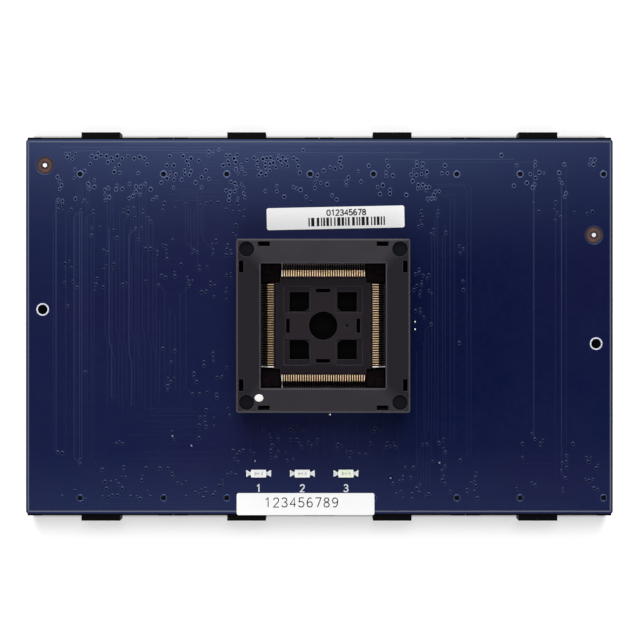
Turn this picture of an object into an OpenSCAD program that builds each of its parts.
// Programming adapter for a flat chip package with gull-wing leads: a circuit board
// with an open-top test socket, three indicators and two labels above, and four
// board-to-board connectors under each long edge. Millimetres, +Z up. The connectors'
// lower faces lie at Z = 0 and the board is centred on the Z axis.

/* [Circuit board] */
// Length of the board along X; the connectors of one edge share it evenly
board_w = 127; // [116:0.5:140]
// Depth of the board along Y
board_d = 81; // [76:0.5:100]
// Thickness of the board
board_t = 1.6; // [1.2:0.1:2.4]
// Radius of the board's corners
board_corner_r = 0.6; // [0.2:0.1:2]
// Thickness of the tinned copper pads on the board
pad_t = 0.05; // [0.03:0.01:0.1]

/* [Locating holes and fiducials] */
// Diameter of the two plated locating holes
locating_hole_d = 2.1; // [1.5:0.1:3]
// Width of the tinned ring around each locating hole
locating_ring_w = 0.32; // [0.15:0.01:0.8]
// Distance of the locating holes from the board's short edges
locating_inset = 3.6; // [2.5:0.1:6]
// Distance of the locating holes from the board's long centre line, to either side
locating_stagger = 3.7; // [0:0.1:10]
// Diameter of the two round fiducial pads
fiducial_d = 1.15; // [0.8:0.05:1.6]
// Distance of the fiducials from the board's short edges
fiducial_inset = 4.1; // [2.5:0.1:6]
// Distance of the left fiducial from the board's rear edge
fiducial_left_drop = 5.6; // [4:0.1:15]
// Distance of the right fiducial from the board's rear edge
fiducial_right_drop = 20.7; // [16:0.1:26]

/* [Edge connectors] */
// Number of connectors under each long edge
connectors_per_edge = 4; // [4:1:4]
// Gap between neighbouring connectors
connector_gap = 0.2; // [0.1:0.05:0.6]
// Depth of a connector housing along Y
connector_d = 12; // [10:0.5:14]
// Height of a connector housing
connector_h = 8.5; // [7:0.25:12]
// How far a housing stands out past the board's long edge
connector_overhang = 0.55; // [0:0.05:1]
// Width of the polarising rib on each long side of a housing
rib_w = 8.4; // [5:0.1:12]
// How far the polarising rib stands out from the housing
rib_out = 1.25; // [0.6:0.05:2]
// Distance of the polarising rib from the housing's lower and upper faces
rib_inset = 1.1; // [0.6:0.1:2]
// Diameter of the two locating pegs of a housing
peg_d = 0.95; // [0.7:0.05:1.2]
// Distance between the two locating pegs
peg_spacing = 18.05; // [16:0.05:20]
// Distance of the outer peg from the housing's right end
peg_end_inset = 1.9; // [1.2:0.1:2.2]
// Distance of the pegs from the housing's centre line, towards the front
peg_offset = 2.05; // [1.6:0.05:3]
// Spacing of the contacts in a connector row
pin_pitch = 1.27; // [1.2:0.01:1.6]
// Distance between the two contact rows of a connector
pin_row_spacing = 2.54; // [2.2:0.02:3]
// Side of a square contact cavity along the row
cavity_w = 0.8; // [0.6:0.05:0.9]
// Sheet thickness of a connector contact
pin_t = 0.2; // [0.15:0.01:0.3]
// Width of a connector contact along the row
pin_w = 0.45; // [0.3:0.05:0.55]
// Length of a soldered contact foot outside the cavity
foot_l = 2.6; // [1.5:0.1:3]
// Width of the lead-in groove along each contact row
groove_w = 1.5; // [1.2:0.05:2]
// Depth of the lead-in groove
groove_depth = 0.4; // [0.2:0.05:0.8]
// Chamfer on a housing's long lower edges
housing_chamfer = 0.45; // [0.2:0.05:0.8]

/* [Socket position] */
// Offset of the socket's centre from the board's centre along X
socket_x = 0.8; // [-5:0.1:5]
// Offset of the socket's centre from the board's centre along Y
socket_y = 0.2; // [-2:0.1:2]

/* [Device] */
// Span of the device's leads, tip to tip
lead_span = 22; // [21:0.1:23]
// Pitch of the device's leads
lead_pitch = 0.5; // [0.45:0.01:0.5]
// Number of leads on each side of the device
leads_per_side = 36; // [28:4:36]

/* [Socket contacts] */
// Sheet thickness of a socket contact
contact_t = 0.2; // [0.14:0.01:0.2]
// Distance from a contact's nose to the axis it swings about
nose_reach = 2; // [1.8:0.05:2.2]
// Height of the lead seat above the swing axis
seat_rise = 2.35; // [2.1:0.05:2.6]
// How far a nose reaches in over a lead's foot
nose_overlap = 0.6; // [0.4:0.05:0.8]
// Depth of a contact's nose
nose_h = 0.7; // [0.5:0.05:0.9]
// Length of the flat top of a nose
nose_l = 1.4; // [1.1:0.05:1.6]
// Radius of the round knuckle at the swing axis
knuckle_r = 0.45; // [0.35:0.01:0.5]
// Gap between the swinging arm and its fixed spring foot
hinge_gap = 0.06; // [0.04:0.01:0.1]
// Radius of the lever pad that the cover pushes
lever_pad_r = 0.28; // [0.2:0.01:0.35]
// Outer radius of the bent spring foot
spring_foot_r = 0.95; // [0.8:0.05:1.1]
// Width of the bent spring strip
spring_strip_w = 0.34; // [0.25:0.01:0.45]
// Distance between the staggered columns of solder tails
tail_stagger = 1.5; // [1.2:0.1:1.7]
// Width of a solder tail
tail_w = 0.4; // [0.3:0.05:0.45]
// Length of a solder tail below the board
tail_out = 1.2; // [0.6:0.1:2]
// Diameter of the board's holes for the solder tails
tail_hole_d = 0.75; // [0.6:0.05:0.85]
// Clearance around a solder tail in the socket base
tail_slot_clear = 0.05; // [0.03:0.01:0.08]

/* [Socket cover] */
// Side of the square cover
cover_w = 36.5; // [36:0.1:39]
// Width of the cover's four bars around its square opening
bar_w = 5.15; // [4.8:0.05:5.9]
// Thickness of the cover's top plate
cover_plate_t = 3.2; // [2.4:0.1:5]
// Thickness of the cover's skirt
cover_wall = 0.8; // [0.6:0.05:1]
// Radius of the cover's upright edges
cover_corner_r = 0.5; // [0.2:0.1:1]
// Chamfer on the cover's outer top edges
cover_chamfer = 0.42; // [0.1:0.02:0.6]
// Bevel on the edges of the opening
opening_bevel = 0.36; // [0.1:0.02:0.8]
// How far the cover is pressed down to open the contacts
cover_stroke = 2.2; // [1.6:0.1:2.2]
// Width of the flat edge that pushes the contact levers
pusher_flat = 0.75; // [0.6:0.05:0.9]
// Chamfer on the inner side of that edge
pusher_chamfer = 0.5; // [0.3:0.05:0.6]
// Gap between the cover's skirt and the base
skirt_clear = 0.25; // [0.15:0.05:0.4]
// Diameter of the round recess in each cover corner
recess_d = 3.3; // [2.6:0.1:3.4]
// Depth of the round recesses
recess_depth = 1.4; // [0.6:0.1:1.6]
// Distance of the corner recesses and springs from the cover's sides
corner_inset = 2.15; // [2:0.05:2.6]
// Length of the slots above the hooks
slot_l = 2.55; // [2:0.05:3]
// Width of the slots above the hooks
slot_w = 1; // [0.7:0.05:1]
// Distance of the slots and hooks from the middle of the nearest corner recess
slot_gap = 3.65; // [3.5:0.05:3.8]
// Thickness of a hook's barb
barb_h = 0.7; // [0.5:0.05:0.8]

/* [Socket base and nest] */
// Height of the base's stand-off pads
standoff_h = 0.4; // [0.2:0.05:0.8]
// Thickness of the base's floor
floor_t = 1.8; // [1.5:0.1:2.5]
// Thickness of the nest plate
nest_t = 1.6; // [1.2:0.1:1.7]
// Diameter of the nest's centre hole
nest_hole_d = 6.1; // [4:0.1:6.2]
// Side of the nest's four square holes
nest_window_w = 4.2; // [3:0.1:4.4]
// Distance of the square holes from the nest's centre lines
nest_window_offset = 3; // [2.8:0.05:3.2]
// Cut across the inner corner of each square hole
nest_window_cut = 0.8; // [0.3:0.05:1]
// Length of the nest's four slots
nest_slot_l = 3.05; // [2:0.05:4]
// Width of the nest's four slots
nest_slot_w = 0.82; // [0.5:0.02:1]
// Distance of the slots from the nest's centre
nest_slot_offset = 7.5; // [7:0.05:7.8]
// Width of the arms of the nest's raised cross
nest_arm_w = 5.5; // [4.5:0.1:5.9]
// Width of the raised rim around the nest
nest_rim_w = 1.6; // [1:0.05:2]
// Depth of the shallow panels around the nest's raised cross
nest_panel_depth = 0.35; // [0.1:0.05:0.6]
// Diameter of the round moulding mark on the nest's arm
gate_d = 1; // [0.6:0.1:1.4]
// Depth of the moulding mark
gate_depth = 0.2; // [0.1:0.05:0.4]
// Width of a comb tooth between two contacts
tooth_w = 0.2; // [0.14:0.01:0.2]
// Length of a comb tooth
tooth_l = 0.95; // [0.6:0.05:1]
// Mean radius of a return spring's coil
coil_r = 0.85; // [0.75:0.01:0.95]
// Wire diameter of a return spring
wire_d = 0.3; // [0.2:0.01:0.35]
// Number of turns of a return spring
coil_turns = 6; // [4:1:7]

/* [Indicators and labels] */
// Length of an indicator's body
led_l = 3.2; // [2:0.1:3.6]
// Width of an indicator's body
led_w = 1.65; // [1.2:0.05:2]
// Thickness of an indicator's white body
led_body_h = 0.55; // [0.4:0.05:0.8]
// Height of an indicator's lens above its body
led_lens_h = 0.55; // [0.3:0.05:0.8]
// Distance between neighbouring indicators
led_pitch = 9.45; // [7:0.05:10]
// Offset of the middle indicator from the board's centre along X
led_x = -3.7; // [-10:0.1:10]
// Distance of the indicators from the board's front edge
led_inset = 8.7; // [7:0.1:10]
// Length of a solder fillet at an indicator's end
fillet_l = 1.1; // [0.6:0.05:1.4]
// Length of the labels
label_l = 29.8; // [24:0.1:36]
// Width of the labels
label_w = 4.75; // [4:0.05:6]
// Thickness of the labels
label_t = 0.1; // [0.06:0.01:0.2]
// Radius of the labels' corners
label_corner_r = 0.45; // [0.2:0.05:1]
// Gap between the cover and the upper label
upper_label_gap = 2.7; // [1.5:0.1:4]
// Offset of the upper label from the socket's centre along X
upper_label_x = 2.7; // [-5:0.1:5]
// Turn of the upper label, in degrees
upper_label_turn = 1.2; // [-2:0.1:2]
// Offset of the lower label from the board's centre along X
lower_label_x = -3; // [-8:0.1:8]
// How far the lower label hangs over the board's front edge
lower_label_overhang = 0.3; // [0:0.05:0.5]

/* [Hidden] */
$fn = 48;
// Overlap that joins two shapes of one piece, and overshoot of a cut
join = 0.1;
// Clearances between pieces that fit together
peg_clear = 0.1;
hook_clear = 0.12;
hook_play = 0.2;
swing_clear = 0.3;
push_gap = 0.08;
nest_clear = 0.15;
coil_clear = 0.25;
post_clear = 0.15;
tower_clear = 0.1;
row_end_gap = 0.45;
press_clear = 0.25;
pin_peg_gap = 0.3;

// Heights, from the connectors' lower faces up
deck_z = connector_h + board_t;

// Connectors
connector_pitch = board_w / connectors_per_edge;
connector_l = connector_pitch - connector_gap;
connector_y = board_d / 2 + connector_overhang - connector_d / 2;
peg_right_x = connector_l / 2 - peg_end_inset;
peg_xs = [peg_right_x - peg_spacing, peg_right_x];
peg_recess = 0.2;
peg_h = board_t - peg_recess;
connector_end_wall = 2.6;
pins_per_row = floor((connector_l - 2 * connector_end_wall) / pin_pitch);
pins_half = pins_per_row / 2 * pin_pitch;
pin_xs = [for (i = [0:pins_per_row - 1]) (i + 0.5) * pin_pitch - pins_half];
cavity_d = cavity_w + pin_t;
cavity_y = pin_row_spacing / 2;
cavity_out = cavity_y + cavity_d / 2;
foot_recess = 0.7;
foot_t = 0.25;
pin_recess = 0.6;
pin_bottom = groove_depth + pin_recess;
pin_bevel = 0.3;
peg_keepout = peg_d / 2 + pin_w / 2 + pin_peg_gap;

// Socket levels, above the board
floor_top = standoff_h + floor_t;
pivot_z = floor_top + 2 * spring_foot_r + hinge_gap + knuckle_r;
nest_top = pivot_z + seat_rise;
nest_bottom = nest_top - nest_t;
nose_top = seat_rise + nose_h;
nose_sweep_r = norm([nose_reach, nose_top]);
plate_bottom = pivot_z + nose_sweep_r + swing_clear + cover_stroke;
socket_h = plate_bottom + cover_plate_t;
tower_rise = 0.85;
tower_top = nest_top + tower_rise;
tower_step = nest_bottom;

// Socket plan, from its centre outwards
cover_half = cover_w / 2;
opening_w = cover_w - 2 * bar_w;
skirt_in = cover_half - cover_wall;
base_half = skirt_in - skirt_clear;
nose_u = lead_span / 2 - nose_overlap;
pivot_u = nose_u + nose_reach;
lever_u = skirt_in - pusher_flat;
lever_du = lever_u - pivot_u;
lever_dz = cover_stroke / 2;
nose_tip = 0.25;
throat_drop = 0.5;
shoulder_rise = 1.75;
pusher_bottom = pivot_z + lever_dz + lever_pad_r + push_gap;
row_half = (leads_per_side - 1) / 2 * lead_pitch;
lead_vs = [for (i = [0:leads_per_side - 1]) i * lead_pitch - row_half];
pusher_l = 2 * row_half + contact_t + row_end_gap;
tower_in = row_half + contact_t / 2 + row_end_gap;
tower_out = opening_w / 2 - tower_clear;
tower_post_in = (tower_in + tower_out) / 2;
nest_nose_gap = 0.4;
nest_half = nose_u - nest_nose_gap;
gate_u = (nest_hole_d / 2 + nest_slot_offset - nest_slot_w / 2) / 2;
plinth_inset = 1.1;
plinth_half = nest_half - plinth_inset;
plinth_wall = 1;
corner_u = cover_half - corner_inset;
slot_offset = corner_u - slot_gap;

// Hooks that stop the cover's rise
slot_skirt_cut = 0.25;
slot_u = skirt_in + slot_skirt_cut - slot_w / 2;
barb_bottom = cover_stroke + press_clear;
barb_top = barb_bottom + barb_h;
barb_catch = 0.5;
barb_u = base_half - barb_catch;
ledge_bottom = barb_top + hook_clear;
ledge_t = 1.1;
ledge_top = ledge_bottom + ledge_t;
skirt_bottom = ledge_bottom;
hook_w = slot_l - hook_play / 2;
pocket_w = hook_w + 2 * hook_play;
hook_wall_t = 1.8;
hook_wall_end = corner_u - coil_r - wire_d / 2 - coil_clear;

// Return springs
boss_wall = 0.4;
boss_d = recess_d + 2 * boss_wall;
boss_bottom = cover_stroke + ledge_top + swing_clear;
coil_bore_d = 2 * coil_r + wire_d + 2 * coil_clear;
coil_roof_t = 1;
coil_top = socket_h - recess_depth - coil_roof_t;
coil_steps = 14;
wire_sides = 6;
spring_post_d = 2 * coil_r - wire_d - 2 * post_clear;
spring_post_h = 1.2;

// Indicators and labels
led_y = -board_d / 2 + led_inset;
led_end_l = 0.5;
lens_l = led_l - 2 * led_end_l;
lens_slope = led_lens_h / 3;
fillet_inset = 0.15;
fillet_w = led_w - 2 * fillet_inset;
fillet_drop = 0.1;
fillet_h = led_body_h - fillet_drop;
upper_label_y = socket_y + cover_half + upper_label_gap + label_w / 2;
lower_label_y = -board_d / 2 - lower_label_overhang + label_w / 2;

// Locating holes, fiducials and the socket's pegs
locating_ring_d = locating_hole_d + 2 * locating_ring_w;
locating_xy = [
    [-board_w / 2 + locating_inset, locating_stagger],
    [board_w / 2 - locating_inset, -locating_stagger]
];
fiducial_xy = [
    [-board_w / 2 + fiducial_inset, board_d / 2 - fiducial_left_drop],
    [board_w / 2 - fiducial_inset, board_d / 2 - fiducial_right_drop]
];
base_peg_d = 1.5;
base_peg_xy = [[-corner_u, corner_u], [corner_u, -corner_u]];

SIDES = ["east", "north", "west", "south"];
CORNERS = [[-1, -1], [1, -1], [-1, 1], [1, 1]];

// Helpers

// A plate between two levels, centred on the Z axis, with rounded upright edges
module rounded_plate(w, d, r, z0, z1) {
    translate([0, 0, z0])
        linear_extrude(z1 - z0) {
            square([w - 2 * r, d], center = true);
            square([w, d - 2 * r], center = true);
            for (sx = [-1, 1], sy = [-1, 1])
                translate([sx * (w / 2 - r), sy * (d / 2 - r)])
                    circle(r = r);
        }
}

// A square block between two levels, centred on the Z axis
module block(w, d, z0, z1) {
    translate([-w / 2, -d / 2, z0])
        cube([w, d, z1 - z0]);
}

// A block given by its lowest and highest corners
module span(low, high) {
    translate(low)
        cube(high - low);
}

module round_post(d, z0, z1) {
    translate([0, 0, z0])
        cylinder(d = d, h = z1 - z0);
}

// Children moved to the socket's place on the board
module at_socket() {
    translate([socket_x, socket_y, deck_z])
        children();
}

// Children repeated on the four sides of the socket
module on_sides() {
    for (k = [0:3])
        rotate(90 * k)
            children();
}

// A profile in the plane across a contact row, given the row's thickness
module row_slice(t) {
    rotate([90, 0, 0])
        linear_extrude(t, center = true)
            children();
}

// A straight edge cut of triangular section along Y, of the given leg
module edge_cut(length, leg) {
    rotate([90, 0, 0])
        linear_extrude(length, center = true)
            polygon([[-leg, join], [join, join], [join, -leg]]);
}

// Column of a contact's solder tail, staggered over three columns
function tail_u(i) = pivot_u + ((i % 3) - 1) * tail_stagger;

// Circuit board

module circuit_board() {
    color("midnightblue")
        difference() {
            rounded_plate(board_w, board_d, board_corner_r, connector_h, deck_z);
            for (p = locating_xy)
                translate(p) {
                    round_post(locating_hole_d, connector_h - join, deck_z + join);
                    round_post(locating_ring_d, connector_h - join, connector_h + pad_t);
                    round_post(locating_ring_d, deck_z - pad_t, deck_z + join);
                }
            for (k = [0:connectors_per_edge - 1], side = [1, -1])
                at_connector(k, side)
                    for (x = peg_xs)
                        translate([x, -peg_offset])
                            round_post(peg_d + peg_clear, connector_h - join, deck_z + join);
            translate([socket_x, socket_y]) {
                for (p = base_peg_xy)
                    translate(p)
                        round_post(base_peg_d + peg_clear, connector_h - join, deck_z + join);
                on_sides()
                    for (i = [0:leads_per_side - 1])
                        translate([tail_u(i), lead_vs[i]])
                            round_post(tail_hole_d, connector_h - join, deck_z + join);
            }
        }
}

module locating_hole_pads() {
    color("silver")
        for (p = locating_xy, z = [deck_z - pad_t, connector_h])
            translate(p)
                difference() {
                    round_post(locating_ring_d, z, z + pad_t);
                    round_post(locating_hole_d, z - join, z + pad_t + join);
                }
}

module fiducial_pads() {
    color("silver")
        for (p = fiducial_xy)
            translate(p)
                round_post(fiducial_d, deck_z, deck_z + pad_t);
}

// Edge connectors

module at_connector(k, side) {
    translate([(k - (connectors_per_edge - 1) / 2) * connector_pitch, side * connector_y, 0])
        children();
}

// Outline of a housing across its length, with a tapered polarising rib on each long side
module rib_profile() {
    half = connector_d / 2;
    low = rib_inset;
    high = connector_h - rib_inset;
    polygon([
        [-half, low], [-half - rib_out, low + rib_out / 2], [-half - rib_out, high],
        [half + rib_out, high], [half + rib_out, low + rib_out / 2], [half, low]
    ]);
}

module connector_housing(k, side) {
    color([0.1, 0.1, 0.11])
        at_connector(k, side) {
            difference() {
                union() {
                    block(connector_l, connector_d, 0, connector_h);
                    rotate([90, 0, 90])
                        linear_extrude(rib_w, center = true)
                            rib_profile();
                }
                for (turn = [0, 180])
                    rotate(turn) {
                        span(
                            [-pins_half, cavity_out, connector_h - foot_recess],
                            [pins_half, connector_d / 2 + join, connector_h + join]
                        );
                        translate([0, cavity_y])
                            block(2 * pins_half, groove_w, -join, groove_depth);
                        for (x = pin_xs)
                            translate([x, cavity_y])
                                block(cavity_w, cavity_d, -join, connector_h + join);
                        translate([0, connector_d / 2])
                            rotate([0, 180, 90])
                                mirror([1, 0, 0])
                                    edge_cut(connector_l + join, housing_chamfer);
                    }
            }
            for (x = peg_xs)
                translate([x, -peg_offset])
                    round_post(peg_d, connector_h - foot_recess - join, connector_h + peg_h);
        }
}

// One contact: a blade on the outer wall of its cavity and a foot under the board
module connector_pin() {
    row_slice(pin_w)
        polygon([
            [cavity_out - pin_t, pin_bottom + pin_bevel], [cavity_out, pin_bottom],
            [cavity_out, connector_h - foot_t], [cavity_out + foot_l, connector_h - foot_t],
            [cavity_out + foot_l, connector_h], [cavity_out - pin_t, connector_h]
        ]);
}

module connector_pins(k, side) {
    color("gold")
        at_connector(k, side)
            for (x = pin_xs) {
                translate([x, 0])
                    rotate(90)
                        connector_pin();
                if (min([for (p = peg_xs) abs(x - p)]) > peg_keepout)
                    translate([x, 0])
                        rotate(-90)
                            connector_pin();
            }
}

// Socket base

// One corner of the base: a stepped tower in the opening's corner and two hook walls
module base_corner() {
    span([tower_in, tower_in, floor_top - join], [tower_out, tower_out, tower_step]);
    span([tower_post_in, tower_post_in, tower_step - join], [tower_out, tower_out, tower_top]);
    for (swap = [0, 1])
        mirror([swap, -swap, 0])
            span(
                [base_half - hook_wall_t, tower_in, floor_top - join],
                [base_half, hook_wall_end, ledge_top]
            );
    translate([corner_u, corner_u])
        round_post(spring_post_d, floor_top - join, floor_top + spring_post_h);
    pad = 2 * (base_half - corner_u);
    translate([corner_u, corner_u])
        block(pad, pad, 0, standoff_h + join);
}

module socket_base() {
    color([0.07, 0.06, 0.07])
        at_socket() {
            difference() {
                union() {
                    block(2 * base_half, 2 * base_half, standoff_h, floor_top);
                    block(2 * plinth_half, 2 * plinth_half, floor_top - join, nest_bottom);
                    on_sides()
                        base_corner();
                }
                hollow = 2 * (plinth_half - plinth_wall);
                block(hollow, hollow, floor_top, nest_bottom + join);
                on_sides() {
                    for (i = [0:leads_per_side - 1])
                        translate([tail_u(i), lead_vs[i]])
                            block(
                                tail_w + 2 * tail_slot_clear, contact_t + 2 * tail_slot_clear,
                                0, floor_top + join
                            );
                    for (sv = [-1, 1])
                        translate([0, sv * slot_offset])
                            span(
                                [barb_u - hook_play, -pocket_w / 2, -join],
                                [base_half + join, pocket_w / 2, ledge_bottom]
                            );
                }
            }
            for (p = base_peg_xy)
                translate(p)
                    round_post(base_peg_d, -peg_h, join);
        }
}

// Device nest

// One quarter of the nest's windows: a square hole with its inner corner cut across
module nest_window() {
    near = nest_window_offset;
    far = near + nest_window_w;
    bend = near + nest_window_cut;
    translate([0, 0, nest_bottom - join])
        linear_extrude(nest_t + 2 * join)
            polygon([[bend, near], [far, near], [far, far], [near, far], [near, bend]]);
}

// The comb along one edge of the nest, with a tooth on each side of every contact
module nest_comb() {
    for (i = [0:leads_per_side])
        translate([nest_half + tooth_l / 2, (i - 0.5) * lead_pitch - row_half])
            block(tooth_l + 2 * join, tooth_w, nest_bottom + nest_t / 4, nest_top);
}

module device_nest() {
    panel_in = nest_arm_w / 2;
    panel_out = nest_half - nest_rim_w;
    notch = tower_in - nest_clear;
    color([0.16, 0.15, 0.17])
        at_socket()
            difference() {
                union() {
                    block(2 * nest_half, 2 * nest_half, nest_bottom, nest_top);
                    on_sides()
                        nest_comb();
                }
                round_post(nest_hole_d, nest_bottom - join, nest_top + join);
                translate([gate_u, 0])
                    round_post(gate_d, nest_top - gate_depth, nest_top + join);
                on_sides() {
                    nest_window();
                    span(
                        [panel_in, panel_in, nest_top - nest_panel_depth],
                        [panel_out, panel_out, nest_top + join]
                    );
                    translate([nest_slot_offset, 0])
                        block(nest_slot_w, nest_slot_l, nest_bottom - join, nest_top + join);
                    span(
                        [notch, notch, nest_bottom - join],
                        [nest_half + join, nest_half + join, nest_top + join]
                    );
                }
            }
}

// Socket cover

// A hook that catches under the base's ledge, on the skirt's inner side
module cover_hook() {
    span(
        [skirt_in, -hook_w / 2, barb_bottom],
        [cover_half, hook_w / 2, skirt_bottom + join]
    );
    row_slice(hook_w)
        polygon([
            [barb_u, barb_top], [barb_u, barb_top - barb_h / 3],
            [skirt_in + join, barb_bottom], [skirt_in + join, barb_top]
        ]);
}

// A rib along one side that pushes the levers of a contact row down
module cover_pusher() {
    row_slice(pusher_l)
        polygon([
            [skirt_in + join, plate_bottom + join], [lever_u - pusher_chamfer, plate_bottom + join],
            [lever_u - pusher_chamfer, pusher_bottom + pusher_chamfer], [lever_u, pusher_bottom],
            [skirt_in + join, pusher_bottom]
        ]);
}

module socket_cover() {
    color([0.23, 0.22, 0.24])
        at_socket()
            difference() {
                union() {
                    difference() {
                        rounded_plate(cover_w, cover_w, cover_corner_r, skirt_bottom, socket_h);
                        block(2 * skirt_in, 2 * skirt_in, skirt_bottom - join, plate_bottom);
                    }
                    on_sides() {
                        cover_pusher();
                        for (sv = [-1, 1])
                            translate([0, sv * slot_offset])
                                cover_hook();
                        translate([corner_u, corner_u])
                            round_post(boss_d, boss_bottom, plate_bottom + join);
                    }
                }
                block(opening_w, opening_w, plate_bottom - join, socket_h + join);
                on_sides() {
                    translate([cover_half, 0, socket_h])
                        edge_cut(cover_w + join, cover_chamfer);
                    translate([opening_w / 2, 0, socket_h])
                        mirror([1, 0, 0])
                            edge_cut(opening_w, opening_bevel);
                    translate([corner_u, corner_u]) {
                        round_post(recess_d, socket_h - recess_depth, socket_h + join);
                        round_post(coil_bore_d, boss_bottom - join, coil_top);
                    }
                    for (sv = [-1, 1])
                        translate([slot_u, sv * slot_offset])
                            block(slot_w, slot_l, barb_top, socket_h + join);
                }
            }
}

// Socket contacts

// Swinging arm across its row: knuckle, nose over the lead seat, lever under the cover
module arm_profile() {
    translate([pivot_u, pivot_z]) {
        circle(r = knuckle_r);
        polygon([
            [-knuckle_r, 0], [-nose_reach / 2, seat_rise - throat_drop],
            [-nose_reach + nose_tip, seat_rise], [-nose_reach, seat_rise + nose_tip],
            [-nose_reach, nose_top - nose_tip / 2], [-nose_reach + nose_tip / 2, nose_top],
            [-nose_reach + nose_l, nose_top], [knuckle_r, shoulder_rise],
            [lever_du, lever_dz + lever_pad_r / 2], [lever_du, lever_dz - lever_pad_r],
            [knuckle_r, 0]
        ]);
        translate([lever_du, lever_dz])
            circle(r = lever_pad_r);
    }
}

// Fixed part of a contact: a bent spring foot on the base's floor and a solder tail
module tail_profile(u) {
    centre_z = floor_top + spring_foot_r;
    foot_low = min(pivot_u, u - tail_w / 2);
    foot_high = max(pivot_u + tail_w, u + tail_w / 2);
    translate([pivot_u, centre_z])
        difference() {
            circle(r = spring_foot_r);
            circle(r = spring_foot_r - spring_strip_w);
            translate([0, -2 * spring_foot_r])
                square(4 * spring_foot_r);
        }
    translate([pivot_u - join, centre_z + spring_foot_r - spring_strip_w])
        square([tail_w, spring_strip_w]);
    translate([foot_low, floor_top])
        square([foot_high - foot_low, spring_strip_w]);
    translate([u - tail_w / 2, -board_t - tail_out])
        square([tail_w, board_t + tail_out + floor_top + join]);
}

module contact_arms(k) {
    color("burlywood")
        at_socket()
            rotate(90 * k)
                for (v = lead_vs)
                    translate([0, v])
                        row_slice(contact_t)
                            arm_profile();
}

module contact_tails(k) {
    color("goldenrod")
        at_socket()
            rotate(90 * k)
                for (i = [0:leads_per_side - 1])
                    translate([0, lead_vs[i]])
                        row_slice(contact_t)
                            tail_profile(tail_u(i));
}

// Return springs

// A point on the wire's skin: s runs along the coil from 0 to 1, a around the wire
function coil_point(s, a) =
    let (
        turn = 360 * coil_turns * s,
        height = floor_top + wire_d / 2 + s * (coil_top - floor_top - wire_d),
        out = coil_r + wire_d / 2 * cos(a)
    )
    [out * cos(turn), out * sin(turn), height + wire_d / 2 * sin(a)];

module coil() {
    rings = coil_turns * coil_steps;
    points = [
        for (j = [0:rings], i = [0:wire_sides - 1])
            coil_point(j / rings, 360 * i / wire_sides)
    ];
    skin = [
        for (j = [0:rings - 1], i = [0:wire_sides - 1], half = [0, 1])
            let (n = (i + 1) % wire_sides, low = j * wire_sides, high = low + wire_sides)
            half == 0 ? [low + i, high + i, high + n] : [low + i, high + n, low + n]
    ];
    first = [for (i = [0:wire_sides - 1]) i];
    last = [for (i = [wire_sides - 1:-1:0]) rings * wire_sides + i];
    polyhedron(points, concat(skin, [first, last]));
}

module return_spring(corner) {
    color("lightgray")
        at_socket()
            translate(corner_u * corner)
                coil();
}

// Indicators

module at_indicator(n) {
    translate([led_x + (n - 2) * led_pitch, led_y, deck_z])
        children();
}

module indicator(n) {
    color("white")
        at_indicator(n)
            block(led_l, led_w, 0, led_body_h);
}

module indicator_lenses() {
    color("whitesmoke")
        for (n = [1:3])
            at_indicator(n)
                row_slice(led_w)
                    polygon([
                        [-lens_l / 2, led_body_h], [lens_l / 2, led_body_h],
                        [lens_l / 2 - lens_slope, led_body_h + led_lens_h],
                        [-lens_l / 2 + lens_slope, led_body_h + led_lens_h]
                    ]);
}

module indicator_solder() {
    color("silver")
        for (n = [1:3], end = [0, 1])
            at_indicator(n)
                mirror([end, 0, 0])
                    translate([led_l / 2, 0])
                        row_slice(fillet_w)
                            difference() {
                                square([fillet_l, fillet_h]);
                                translate([fillet_l, fillet_h + pad_t])
                                    circle(r = fillet_h);
                            }
}

// Labels

module upper_label() {
    color("white")
        translate([socket_x + upper_label_x, upper_label_y])
            rotate(upper_label_turn)
                rounded_plate(label_l, label_w, label_corner_r, deck_z, deck_z + label_t);
}

module lower_label() {
    color("white")
        translate([lower_label_x, lower_label_y])
            rounded_plate(label_l, label_w, label_corner_r, deck_z, deck_z + label_t);
}

// Assembly

circuit_board();
locating_hole_pads();
fiducial_pads();
for (k = [0:connectors_per_edge - 1]) {
    connector_housing(k, 1);
    connector_housing(k, -1);
    connector_pins(k, 1);
    connector_pins(k, -1);
}
socket_base();
device_nest();
socket_cover();
for (k = [0:3]) {
    contact_arms(k);
    contact_tails(k);
    return_spring(CORNERS[k]);
}
for (n = [1:3])
    indicator(n);
indicator_lenses();
indicator_solder();
upper_label();
lower_label();
